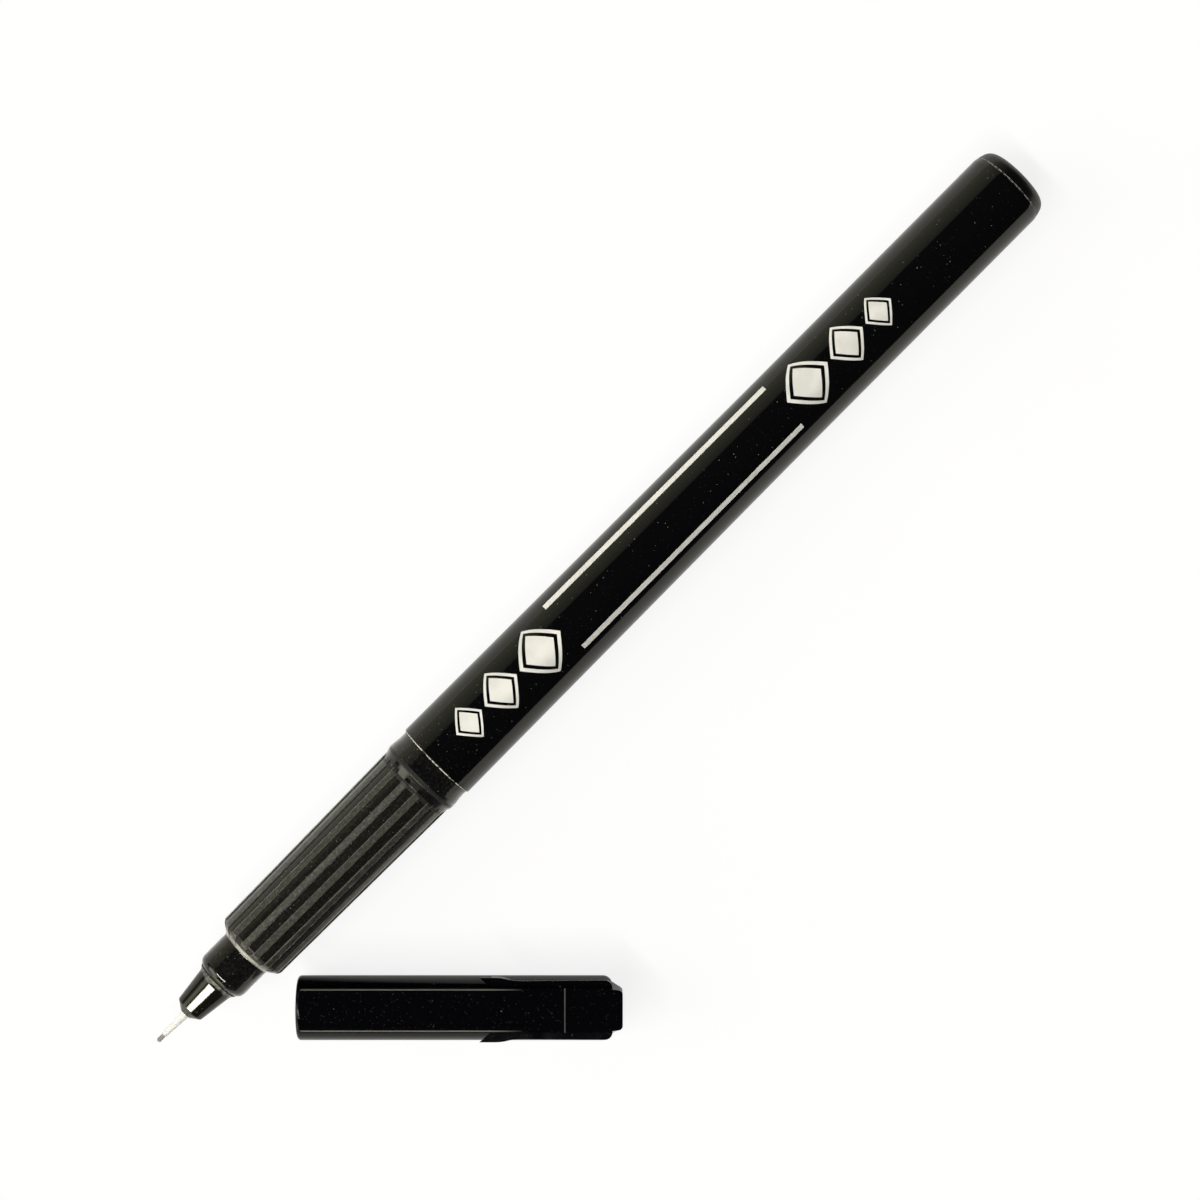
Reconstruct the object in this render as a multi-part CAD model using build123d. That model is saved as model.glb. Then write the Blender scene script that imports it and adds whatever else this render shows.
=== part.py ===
"""Fineliner pen lying on a table, with its cap off and lying beside it.

Millimetres, +Z up. The pen is drawn along +X with its writing tip at x = 0, and the
cap along its own +X with its mouth at x = 0. Both are then laid on the table, and
the whole is moved so that the origin is the middle of the underside of its box.
"""

import os

from build123d import *

# Pen: stations along the axis, from the writing tip
POINT_LENGTH = 1.03        # writing point that shows in front of the sheath
HOLDER_FRONT = 4.33        # front of the cone that holds the nib
HOLDER_NOSE_END = 5.05     # from here the cone is slender
FLARE_START = 9.05         # concave flare at the cone's rear
COLLAR_FRONT = 9.5         # seam between the cone and the sealing collar
GRIP_FRONT = 14.0          # foot of the shoulder where the grip starts
SHOULDER_END = 14.8        # top of that shoulder
GRIP_END = 39.75           # foot of the slope up to the snap ring
RING_FRONT = 41.15
RING_REAR = 41.75
WAIST_FRONT = 42.65
SEAM = 43.55               # seam between the grip section and the barrel
TAPER_END = 96.45          # the barrel's taper ends, straight from here to the tail
TAIL_DRAW_IN = 132.25      # the tail starts to be drawn in
TAIL_SEAM = 132.75         # seam between the barrel and the tail plug
PEN_LENGTH = 134.35

# Pen: outer radii
POINT_R = 0.26
SHEATH_FRONT_R = 0.32
SHEATH_REAR_R = 0.52
HOLDER_FRONT_R = 0.72
HOLDER_NOSE_R = 1.71
HOLDER_REAR_R = 2.24
FLARE_R = 2.58
COLLAR_R = 3.095
GRIP_FRONT_R = 4.14        # between the ribs
GRIP_REAR_R = 4.445
RING_R = 4.795             # snap ring behind the grip
WAIST_R = 4.675            # groove between the snap ring and the barrel
BARREL_FRONT_R = 4.86
TAIL_R = 4.63
TAIL_SEAM_R = 4.55
TAIL_END_R = 4.1           # corner of the plug's head, before it is rounded

# Pen: roundings
POINT_ROUND = 0.22
HOLDER_ROUND = 0.25
FLARE_ROUND = 0.8
COLLAR_ROUND = 1.0
SEAT_ROUND = 0.4           # hollow corner between the collar and the grip's shoulder
GRIP_ROUND = 0.6
RING_ROUND = 0.45
SEAM_ROUND = 0.1           # both edges of a seam, so that it shows as a fine groove
BARREL_EDGE_ROUND = 0.18
TAIL_ROUND = 1.3
TAIL_DRAW_IN_ROUND = 1.0
LEAD_IN = 0.3              # inner ends that are pushed into a bore

# Pen: ribs of the grip
RIB_COUNT = 15
RIB_WIDTH = 0.8
RIB_HEIGHT = 0.16
RIB_BEVEL = 0.09
RIB_FOOT_R = 3.0           # each rib is sunk this deep into the grip
RIB_LEAD = 0.1             # the ribs' shoulder starts this far in front of the grip's
RIB_FRONT_ROUND = 0.7
RIB_CLEAR = 0.03           # their front is trimmed this far above their tops
RIB_END = 40.75            # inside the slope up to the snap ring
RIB_TURN = 9.0             # the topmost rib leans this many degrees towards +Y

# Pen: inside
SLIP = 0.03                # radial play of the pushed fits
BARREL_BORE_R = 3.93
SPIGOT_LENGTH = 10.6       # grip section inside the barrel
SECTION_BORE_R = 2.85
HOLDER_SPIGOT_R = 1.75
HOLDER_SPIGOT_LENGTH = 7.0
SHEATH_STEM_R = 0.6
SHEATH_STEM_SETBACK = 0.6
SHEATH_FLANGE_R = 1.12
SHEATH_FLANGE_LENGTH = 1.2
NIB_ROD_R = 0.86
NIB_IN_RESERVOIR = 7.7
RESERVOIR_R = 3.62
RESERVOIR_END = 122.95
WRAP_WALL = 0.12
PLUG_WALL = 0.85
PLUG_HEAD_WALL = 0.9

# Cap: along its axis from the mouth
CAP_LENGTH = 35.9
CAP_R = 3.57
CAP_BORE_R = 3.135         # slides over the sealing collar
CAP_BORE_LENGTH = 4.6
LIP_ROUND = 0.42
LINER_BORE_R = 2.86        # seat of the inner cap
LINER_END = 15.8
HOLLOW_R = 2.6             # moulding core behind the inner cap
HOLLOW_ROUND = 0.5
CROWN_WALL = 1.2
SHOULDER_ROUND = 1.05
BOSS_LENGTH = 1.12         # tapered boss on the crown
BOSS_FOOT_R = 2.52
BOSS_TIP_R = 2.15
BOSS_ROUND = 0.3
BOSS_SINK = 0.5            # the boss starts this far inside the crown
TONGUE_FOOT_Y = 2.85       # tongue that carries the strip past the crown, at its foot
TONGUE_FOOT_TIP_Y = 2.15
TONGUE_TOP_Y = 2.25
TONGUE_TOP_TIP_Y = 2.12
TONGUE_ROUND = 0.5
LINER_SETBACK = 0.15       # the lip lies this far behind the bore's step
LINER_INSIDE_R = 2.48
LINER_STRAIGHT = 4.8
LINER_TIP_R = 1.2
LINER_FLOOR = 1.25
LINER_LIP_ROUND = 0.15

# Clip: a strip above the shell, on a root block that runs to the crown
CLIP_WIDTH = 4.78
CLIP_THICKNESS = 0.88
CLIP_GAP = 0.8
EDGE_WIDTH = 0.22          # flat bevel along both edges of the strip
EDGE_STEEPNESS = 0.47      # its drop for each millimetre of width
EDGE_FADE = 3.6            # on the root block the bevel narrows over this length
EDGE_FADED_WIDTH = 0.03
CLIP_CORNER = 0.45
CLIP_SETBACK = 0.62        # free end, short of the mouth
CLIP_SPLIT = 0.1           # play at the strip's root
NUB_R = 0.56
NUB_WIDTH = 2.9
NUB_PLACE = 1.8            # from the free end
NUB_SINK = 0.5             # the nub is merged this far into the strip
ROOT_FROM_CROWN = 14.4     # root block, at the strip
WING_LENGTH = 1.25         # pointed wing in front of the root block, on each side of the strip
WING_UNDER_Z = 4.0
ROOT_CORNER = 0.8
STEP_FROM_CROWN = 6.34     # low step across the root block
STEP_DROP = 0.24
SHOULDER_INNER_Z = 4.66    # nearly flat shoulder beside the strip
SHOULDER_OUTER_Z = 4.45
FLANK_FULL_Y = 3.5         # the flank reaches the shell's side
DRAW_IN_FROM_CROWN = 14.0  # from here the flank is drawn in
DRAW_IN_LENGTH = 2.9
FLANK_Y = 3.15
FLANK_END_Y = 3.22         # at the crown

# Where the cap lies: its mouth from the writing tip, its heading, and how far its clip leans
CAP_MOUTH_X = 13.32
CAP_MOUTH_Y = -8.38
CAP_HEADING = -45.16
CAP_ROLL = -4.2

FLANGE_FRONT = COLLAR_FRONT - SHEATH_FLANGE_LENGTH
SPIGOT_END = SEAM + SPIGOT_LENGTH
SPIGOT_R = BARREL_BORE_R - SLIP
CLIP_UNDER = CAP_R + CLIP_GAP
CLIP_TOP = CLIP_UNDER + CLIP_THICKNESS
LOW_TOP = CLIP_TOP - STEP_DROP
CLIP_ROOT = CAP_LENGTH - ROOT_FROM_CROWN
SHELL_END = CAP_LENGTH - BOSS_LENGTH


def turned(outline):
    """Solid of revolution about X. The outline is (x, radius, rounding) round the half section."""
    section = make_face(Polyline(*[(x, r) for x, r, _ in outline], close=True))
    for x, r, rounding in outline:
        if rounding:
            corner = section.vertices().sort_by_distance((x, r, 0))[0]
            section = fillet(corner, rounding)
    return revolve(section, Axis.X)


def cross_section(x, outline):
    """Face across the axis at x, from (y, z) points."""
    place = Plane(origin=(x, 0, 0), x_dir=(0, 1, 0), z_dir=(1, 0, 0))
    return place * make_face(Polyline(*outline, close=True))


def nib():
    rod_end = SPIGOT_END + NIB_IN_RESERVOIR
    return turned([
        (0, 0, 0),
        (0, POINT_R, POINT_ROUND),
        (COLLAR_FRONT, POINT_R, 0),
        (COLLAR_FRONT, NIB_ROD_R, 0),
        (rod_end, NIB_ROD_R, LEAD_IN),
        (rod_end, 0, 0),
    ])


def nib_sheath():
    bore = POINT_R + SLIP
    return turned([
        (POINT_LENGTH, bore, 0),
        (POINT_LENGTH, SHEATH_FRONT_R, 0),
        (HOLDER_FRONT, SHEATH_REAR_R, 0),
        (HOLDER_FRONT + SHEATH_STEM_SETBACK, SHEATH_STEM_R, 0),
        (FLANGE_FRONT, SHEATH_STEM_R, 0),
        (FLANGE_FRONT, SHEATH_FLANGE_R, 0),
        (COLLAR_FRONT, SHEATH_FLANGE_R, 0),
        (COLLAR_FRONT, bore, 0),
    ])


def nib_holder():
    end = COLLAR_FRONT + HOLDER_SPIGOT_LENGTH
    return turned([
        (HOLDER_FRONT, SHEATH_STEM_R + SLIP, 0),
        (HOLDER_FRONT, HOLDER_FRONT_R, 0),
        (HOLDER_NOSE_END, HOLDER_NOSE_R, HOLDER_ROUND),
        (FLARE_START, HOLDER_REAR_R, FLARE_ROUND),
        (COLLAR_FRONT, FLARE_R, 0),
        (COLLAR_FRONT, HOLDER_SPIGOT_R, 0),
        (end, HOLDER_SPIGOT_R, LEAD_IN),
        (end, SHEATH_FLANGE_R + SLIP, 0),
        (FLANGE_FRONT, SHEATH_FLANGE_R + SLIP, 0),
        (FLANGE_FRONT, SHEATH_STEM_R + SLIP, 0),
    ])


def grip_rib():
    """One rib along the top of the grip: a bevelled bar that follows the grip's taper and shoulder."""
    half = RIB_WIDTH / 2
    start = GRIP_FRONT - RIB_LEAD
    slope = (GRIP_REAR_R - GRIP_FRONT_R) / (GRIP_END - SHOULDER_END)
    ends = []
    tops = []
    for x in (start, RIB_END):
        top = GRIP_FRONT_R + slope * (x - SHOULDER_END) + RIB_HEIGHT
        tops.append(top)
        ends.append(cross_section(x, [
            (-half, RIB_FOOT_R),
            (-half, top - RIB_BEVEL),
            (RIB_BEVEL - half, top),
            (half - RIB_BEVEL, top),
            (half, top - RIB_BEVEL),
            (half, RIB_FOOT_R),
        ]))
    shoulder = turned([
        (start, 0, 0),
        (start, COLLAR_R, 0),
        (SHOULDER_END, tops[0] + RIB_CLEAR, RIB_FRONT_ROUND),
        (RIB_END, tops[1] + RIB_CLEAR, 0),
        (RIB_END, 0, 0),
    ])
    return loft(ends, ruled=True) & shoulder


def grip_section():
    holder_bore = HOLDER_SPIGOT_R + SLIP
    holder_end = COLLAR_FRONT + HOLDER_SPIGOT_LENGTH
    body = turned([
        (COLLAR_FRONT, holder_bore, 0),
        (COLLAR_FRONT, COLLAR_R, COLLAR_ROUND),
        (GRIP_FRONT, COLLAR_R, SEAT_ROUND),
        (SHOULDER_END, GRIP_FRONT_R, GRIP_ROUND),
        (GRIP_END, GRIP_REAR_R, RING_ROUND),
        (RING_FRONT, RING_R, RING_ROUND),
        (RING_REAR, RING_R, RING_ROUND),
        (WAIST_FRONT, WAIST_R, RING_ROUND),
        (SEAM, WAIST_R, SEAM_ROUND),
        (SEAM, SPIGOT_R, 0),
        (SPIGOT_END, SPIGOT_R, LEAD_IN),
        (SPIGOT_END, SECTION_BORE_R, 0),
        (holder_end, SECTION_BORE_R, 0),
        (holder_end, holder_bore, 0),
    ])
    rib = grip_rib()
    pitch = 360 / RIB_COUNT
    return body + [Rot(X=pitch * i - RIB_TURN) * rib for i in range(RIB_COUNT)]


def barrel():
    return turned([
        (SEAM, BARREL_BORE_R, 0),
        (SEAM, BARREL_FRONT_R, BARREL_EDGE_ROUND),
        (TAPER_END, TAIL_R, 0),
        (TAIL_DRAW_IN, TAIL_R, TAIL_DRAW_IN_ROUND),
        (TAIL_SEAM, TAIL_SEAM_R, SEAM_ROUND),
        (TAIL_SEAM, BARREL_BORE_R, 0),
    ])


def tail_plug():
    bore = SPIGOT_R - PLUG_WALL
    floor = PEN_LENGTH - PLUG_HEAD_WALL
    return turned([
        (RESERVOIR_END, bore, 0),
        (RESERVOIR_END, SPIGOT_R, LEAD_IN),
        (TAIL_SEAM, SPIGOT_R, 0),
        (TAIL_SEAM, TAIL_SEAM_R, SEAM_ROUND),
        (PEN_LENGTH, TAIL_END_R, TAIL_ROUND),
        (PEN_LENGTH, 0, 0),
        (floor, 0, 0),
        (floor, bore, 0),
    ])


def ink_reservoir():
    pocket_r = NIB_ROD_R + SLIP
    pocket_end = SPIGOT_END + NIB_IN_RESERVOIR
    return turned([
        (SPIGOT_END, pocket_r, 0),
        (SPIGOT_END, RESERVOIR_R, 0),
        (RESERVOIR_END, RESERVOIR_R, 0),
        (RESERVOIR_END, 0, 0),
        (pocket_end, 0, 0),
        (pocket_end, pocket_r, 0),
    ])


def reservoir_wrap():
    inside = RESERVOIR_R + SLIP
    return turned([
        (SPIGOT_END, inside, 0),
        (SPIGOT_END, inside + WRAP_WALL, 0),
        (RESERVOIR_END, inside + WRAP_WALL, 0),
        (RESERVOIR_END, inside, 0),
    ])


def strip_edge(top, width):
    """Right edge of the clip's strip, from its side to its top."""
    half = CLIP_WIDTH / 2
    return [(half, top - EDGE_STEEPNESS * width), (half - width, top)]


def with_left(right):
    """Closed outline from its right half."""
    return right + [(-y, z) for y, z in reversed(right)]


def root_section(x, top, edge_width):
    """Cross section of the clip's root block: the strip on top, a shoulder on each side."""
    right = [
        (FLANK_FULL_Y, 0),
        (FLANK_FULL_Y, SHOULDER_OUTER_Z),
        (CLIP_WIDTH / 2, SHOULDER_INNER_Z),
    ]
    return cross_section(x, with_left(right + strip_edge(top, edge_width)))


def clip_root():
    """Root block: full width where it rises out of the shell, drawn in towards the crown."""
    front = CLIP_ROOT - WING_LENGTH
    step = CAP_LENGTH - STEP_FROM_CROWN
    block = loft([
        root_section(front, CLIP_TOP, EDGE_WIDTH),
        root_section(CLIP_ROOT, CLIP_TOP, EDGE_WIDTH),
        root_section(CLIP_ROOT + EDGE_FADE, CLIP_TOP, EDGE_FADED_WIDTH),
        root_section(step, CLIP_TOP, EDGE_FADED_WIDTH),
        root_section(step + STEP_DROP, LOW_TOP, EDGE_FADED_WIDTH),
        root_section(SHELL_END, LOW_TOP, EDGE_FADED_WIDTH),
    ], ruled=True)

    half = CLIP_WIDTH / 2
    draw_start = CAP_LENGTH - DRAW_IN_FROM_CROWN
    draw_end = draw_start + DRAW_IN_LENGTH
    middle = draw_start + DRAW_IN_LENGTH / 2
    plan = make_face([
        Polyline((SHELL_END, 0), (CLIP_ROOT, 0), (CLIP_ROOT, FLANK_FULL_Y), (draw_start, FLANK_FULL_Y)),
        Bezier((draw_start, FLANK_FULL_Y), (middle, FLANK_FULL_Y), (middle, FLANK_Y), (draw_end, FLANK_Y)),
        Polyline((draw_end, FLANK_Y), (SHELL_END, FLANK_END_Y), (SHELL_END, 0)),
    ])
    plan = fillet(plan.vertices().sort_by_distance((SHELL_END, FLANK_END_Y, 0))[0], ROOT_CORNER)
    wing = make_face(Polyline(
        (front, FLANK_FULL_Y),
        (CLIP_ROOT, half),
        (draw_start, half),
        (draw_start, FLANK_FULL_Y),
        close=True,
    ))
    side = extrude(plan, CLIP_TOP) + Pos(0, 0, WING_UNDER_Z) * extrude(wing, CLIP_TOP - WING_UNDER_Z)
    return block & (side + mirror(side, Plane.XZ))


def crown_tongue():
    """Tapered tongue that carries the strip past the shell's end."""
    start = SHELL_END - BOSS_SINK
    levels = []
    for z, wide, narrow in ((0, TONGUE_FOOT_Y, TONGUE_FOOT_TIP_Y), (LOW_TOP, TONGUE_TOP_Y, TONGUE_TOP_TIP_Y)):
        right = [(start, wide), (SHELL_END, wide), (CAP_LENGTH, narrow)]
        left = [(x, -y) for x, y in reversed(right)]
        levels.append(Pos(0, 0, z) * make_face(Polyline(*right, *left, close=True)))
    tongue = loft(levels, ruled=True)
    corners = [tongue.edges().sort_by_distance((CAP_LENGTH, y, LOW_TOP / 2))[0] for y in (-narrow, narrow)]
    return fillet(corners, TONGUE_ROUND)


def cap_shell():
    outside = turned([
        (0, 0, 0),
        (0, CAP_R, LIP_ROUND),
        (SHELL_END, CAP_R, SHOULDER_ROUND),
        (SHELL_END, 0, 0),
    ])
    boss = turned([
        (SHELL_END - BOSS_SINK, 0, 0),
        (SHELL_END - BOSS_SINK, BOSS_FOOT_R, 0),
        (SHELL_END, BOSS_FOOT_R, 0),
        (CAP_LENGTH, BOSS_TIP_R, BOSS_ROUND),
        (CAP_LENGTH, 0, 0),
    ])
    hollow = turned([
        (0, 0, 0),
        (0, CAP_BORE_R, 0),
        (CAP_BORE_LENGTH, CAP_BORE_R, 0),
        (CAP_BORE_LENGTH, LINER_BORE_R, 0),
        (LINER_END, LINER_BORE_R, 0),
        (LINER_END, HOLLOW_R, 0),
        (SHELL_END - CROWN_WALL, HOLLOW_R, HOLLOW_ROUND),
        (SHELL_END - CROWN_WALL, 0, 0),
    ])
    return outside + clip_root() + boss + crown_tongue() - hollow


def clip_arm():
    length = CLIP_ROOT - CLIP_SPLIT - CLIP_SETBACK
    right = [(CLIP_WIDTH / 2, CLIP_UNDER)] + strip_edge(CLIP_TOP, EDGE_WIDTH)
    section = cross_section(CLIP_SETBACK, with_left(right))
    plan = Pos(CLIP_SETBACK + length / 2, 0, CLIP_UNDER) * Rectangle(length, CLIP_WIDTH)
    free_corners = plan.vertices().group_by(Axis.X)[0]
    strip = extrude(section, length) & extrude(fillet(free_corners, CLIP_CORNER), CLIP_THICKNESS)
    nub_x = CLIP_SETBACK + NUB_PLACE
    nub = Pos(nub_x, 0, CLIP_UNDER) * Rot(X=90) * Cylinder(NUB_R, NUB_WIDTH)
    below = Pos(nub_x, 0, CLIP_UNDER) * Box(4 * NUB_R, CLIP_WIDTH, 2 * NUB_SINK)
    return strip + (nub & below)


def inner_cap():
    lip = CAP_BORE_LENGTH + LINER_SETBACK
    outside = LINER_BORE_R - SLIP / 2
    floor = LINER_END - LINER_FLOOR
    return turned([
        (lip, LINER_INSIDE_R, 0),
        (lip, outside, LINER_LIP_ROUND),
        (LINER_END, outside, 0),
        (LINER_END, 0, 0),
        (floor, 0, 0),
        (floor, LINER_TIP_R, 0),
        (lip + LINER_STRAIGHT, LINER_INSIDE_R, 0),
    ])


pen_place = Pos(0, 0, BARREL_FRONT_R)
cap_turn = Rot(Z=CAP_HEADING) * Rot(X=CAP_ROLL)
cap_place = Pos(CAP_MOUTH_X, CAP_MOUTH_Y, CAP_R) * cap_turn
laid = {}
for make in (barrel, tail_plug, grip_section, nib_holder, nib_sheath, nib, ink_reservoir, reservoir_wrap):
    laid[make.__name__] = pen_place * make()
for make in (cap_shell, clip_arm, inner_cap):
    laid[make.__name__] = cap_place * make()

boxes = [solid.bounding_box() for solid in laid.values()]
low = [min(tuple(box.min)[i] for box in boxes) for i in range(3)]
high = [max(tuple(box.max)[i] for box in boxes) for i in range(3)]
to_origin = Pos(-(low[0] + high[0]) / 2, -(low[1] + high[1]) / 2, -low[2])

os.makedirs("parts", exist_ok=True)
for name, solid in laid.items():
    export_step(to_origin * solid, "parts/" + name + ".step")

hinge = Pos(CLIP_ROOT - CLIP_SPLIT / 2, 0, CLIP_UNDER + CLIP_THICKNESS / 2)
print("writing tip", (to_origin * pen_place).position)
print("cap mouth", (to_origin * cap_place).position)
print("cap ahead", (cap_turn * Pos(1, 0, 0)).position)
print("cap side", (cap_turn * Pos(0, 1, 0)).position)
print("cap up", (cap_turn * Pos(0, 0, 1)).position)
print("clip hinge", (to_origin * cap_place * hinge).position)
print("box", [top - bottom for top, bottom in zip(high, low)])
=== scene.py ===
"""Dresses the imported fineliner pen: a finish for every piece, foil on the barrel, floor, lamps and camera."""

import math

import bpy
from bpy.props import FloatProperty, FloatVectorProperty, IntProperty, PointerProperty
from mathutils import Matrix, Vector


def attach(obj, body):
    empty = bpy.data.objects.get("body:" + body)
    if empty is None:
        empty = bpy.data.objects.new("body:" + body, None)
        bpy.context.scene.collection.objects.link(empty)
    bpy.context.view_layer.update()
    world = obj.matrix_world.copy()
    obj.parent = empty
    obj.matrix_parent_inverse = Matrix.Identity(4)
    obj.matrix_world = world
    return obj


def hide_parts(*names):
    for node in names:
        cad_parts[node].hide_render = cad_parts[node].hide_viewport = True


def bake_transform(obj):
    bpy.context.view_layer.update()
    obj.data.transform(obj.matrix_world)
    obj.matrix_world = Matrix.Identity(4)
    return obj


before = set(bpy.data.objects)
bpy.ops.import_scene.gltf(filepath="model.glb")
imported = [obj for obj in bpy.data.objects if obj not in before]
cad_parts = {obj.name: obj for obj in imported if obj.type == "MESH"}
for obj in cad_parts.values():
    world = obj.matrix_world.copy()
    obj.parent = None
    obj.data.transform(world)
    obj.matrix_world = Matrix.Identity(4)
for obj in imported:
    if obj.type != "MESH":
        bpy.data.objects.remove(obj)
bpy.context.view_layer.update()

bl_info = {
    "name": "Fineliner pen",
    "version": (1, 0, 0),
    "blender": (4, 5, 0),
    "location": "View3D > Sidebar > Fineliner",
    "description": "Finishes, foil print and studio for a fineliner pen with its loose cap",
    "category": "Object",
}

MM = 0.001

# Places in the row frame: the writing tip, and the cap's mouth with the way that it points
TIP = Vector((-67.175, 15.2193, 4.86)) * MM
CAP_MOUTH = Vector((-53.855, 6.83928, 3.57)) * MM
CAP_AHEAD = Vector((0.705129, -0.709079, 0.0))
CAP_SIDE = Vector((0.707174, 0.703236, -0.073238))
CAP_UP = Vector((0.051932, 0.051642, 0.997314))

# Along the pen from the writing tip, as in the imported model: the barrel's taper, then straight to the tail, its
# radii, and the nib holder's flare
SEAM = 43.55 * MM
TAPER_END = 96.45 * MM
STRAIGHT_END = 132.25 * MM
TAIL_SEAM = 132.75 * MM
SEAM_R = 4.86 * MM
STRAIGHT_R = 4.63 * MM
FLARE = 9.28 * MM

# Along the grip from the writing tip: its shoulder, the foot of that where dust gathers, the ribs and the
# snap ring's front edge, and its radii between the ribs
SHOULDER_START = 14.0 * MM
DUSTY_FOOT = 14.1 * MM
GRIP_START = 14.8 * MM
GRIP_END = 39.75 * MM
RING_EDGE = 41.1 * MM
COLLAR_R = 3.095 * MM
GRIP_START_R = 4.14 * MM
GRIP_END_R = 4.445 * MM
RIB_HEIGHT = 0.16 * MM

# The clip's strip along the cap: its root face, the play in front of that, its bevelled edges and how far the
# painted highlight on them reaches onto its root block, and the step across that block
CLIP_ROOT = 21.5 * MM
CLIP_SPLIT = 0.1 * MM
STRIP_HALF = 2.39 * MM
STRIP_TOP = 5.25 * MM
EDGE_WIDTH = 0.22 * MM
EDGE_FADE = 3.6 * MM
STEP = 29.6 * MM

# The main lamp's edges in the room, as slopes from the vertical, and how softly they end
LAMP_FAR = -0.53
LAMP_NEAR = -0.42
LAMP_ASIDE = 0.48
LAMP_SOFT = 0.02
LAMP_ASIDE_SOFT = 0.04

# The side lamp: the way to its middle, and the cosines from that at its rim and where it is full
SIDE_LAMP = (-0.7, 0.56, 0.44)
SIDE_LAMP_RIM = 0.9
SIDE_LAMP_FULL = 0.96

# The rest of the room: the panel's upper edge in degrees from the vertical, the brightness of the glow beyond
# the tip and that of the dark ceiling
PANEL_EDGE = 43
GLOW_LEVEL = 3.5
CEILING_LEVEL = 0.02

# White that the floor shows, and its share for each kind of ray beside the floor's own lit colour
FLOOR_WHITE = 1.07
FLOOR_SHARES = {"Is Camera Ray": 0.8, "Is Transmission Ray": 0.8, "Is Glossy Ray": 0.2}

# The point of the floor that lies straight below the camera
BELOW_CAMERA = (1.695 * MM, 14.9562 * MM)

# The bare line inside a lozenge's border, between these shares of the way from its middle to its edge
BARE_FROM = 8 / 12
BARE_TO = 10 / 12


def linear(code):
    """sRGB hex as linear RGBA."""
    values = [int(code[i:i + 2], 16) / 255 for i in (0, 2, 4)]
    return [v / 12.92 if v <= 0.04045 else ((v + 0.055) / 1.055) ** 2.4 for v in values] + [1.0]


def colour_property(name, description, code):
    return FloatVectorProperty(
        name=name, description=description, subtype="COLOR", size=4, min=0.0, max=1.0, default=linear(code)
    )


def length_property(name, description, millimetres):
    return FloatProperty(
        name=name, description=description, subtype="DISTANCE", unit="LENGTH",
        min=0.0, default=millimetres * MM,
    )


def angle_property(name, description, degrees):
    return FloatProperty(
        name=name, description=description, subtype="ANGLE", unit="ROTATION", default=math.radians(degrees)
    )


class FinelinerFinish(bpy.types.PropertyGroup):
    """Colours of the pen's materials."""

    barrel: colour_property("Barrel", "Black of the barrel, tail plug and smooth ends of the grip", "07070A")
    grip: colour_property("Grip", "Black of the nib holder and of the grip between its ribs", "151513")
    rib: colour_property("Ribs", "Satin black of the grip's ribs", "2A2A26")
    # Painted highlight along the ribs' long edges
    rib_edge_highlight: colour_property("Rib edges", "Highlighted long edges of the ribs", "5E5E56")
    cap: colour_property("Cap", "Polished black of the cap and its clip", "050508")
    # Painted highlight along the clip strip's bevelled edges and across the step on its root block
    clip_edge_highlight: colour_property("Clip edges", "Highlighted edges of the clip's strip", "6E6E6C")
    dust: colour_property("Dust", "Dust on the black plastic", "8C8A84")
    # Painted highlight at the barrel's seams and on the nib holder's flare; the same colour is also the dust
    # before the grip
    worn: colour_property("Worn edge", "Highlighted seams of the barrel and dust before the grip", "C8C6BC")
    sheath: colour_property("Sheath", "Ivory of the sheath round the point", "FEFDF8")
    point: colour_property("Point", "Fibre of the writing point", "B2B2B0")
    point_gap: colour_property("Point's gaps", "Gaps between the fibres of the writing point", "7C7C7C")
    ink: colour_property("Ink", "Ink in the fibre bundle and on the point", "0B0B0E")
    film: colour_property("Film", "Clear film round the fibre bundle", "DDE0E4")
    liner: colour_property("Liner", "Natural plastic of the inner cap", "D8D8D2")
    foil: colour_property("Foil", "Silver of the stamped foil", "F6F5F0")


class FinelinerClip(bpy.types.PropertyGroup):
    """How the clip's strip bends."""

    spring_length: length_property("Spring length", "Length of the strip that bends, from its root", 9.0)
    bends: IntProperty(name="Bends", description="Places where that length bends", default=12, min=1)


class FinelinerFoil(bpy.types.PropertyGroup):
    """Sizes of the foil print on the barrel."""

    thickness: length_property("Thickness", "Foil with its glue", 0.01)
    clearance: length_property("Clearance", "Foil above the barrel's surface", 0.004)
    stripe_start: length_property("Stripe start", "Front end of the stripes from the writing tip", 63.95)
    stripe_end: length_property("Stripe end", "Rear end of the stripes from the writing tip", 97.95)
    left_width: length_property("Left width", "Width of the left stripe", 0.78)
    right_width: length_property("Right width", "Width of the right stripe", 0.62)
    stripe_left: angle_property("Left stripe", "Turn of the left stripe from the top", 46.5)
    stripe_right: angle_property("Right stripe", "Turn of the right stripe from the top", -32.5)
    turn: angle_property("Turn", "Turn of the lozenges from the top", 5.5)
    lozenge_length: length_property("Lozenge length", "Length of the largest lozenge", 6.2)
    lozenge_width: length_property("Lozenge width", "Width of the largest lozenge, laid flat", 8.0)
    lozenge_step: FloatProperty(
        name="Lozenge step", description="Size of a lozenge, as a share of the one before", default=0.79
    )
    lozenge_gap: length_property("Lozenge gap", "Bare space between two lozenges", 0.5)
    lozenges: IntProperty(name="Lozenges", description="Lozenges in each row", default=3, min=1)


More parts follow.
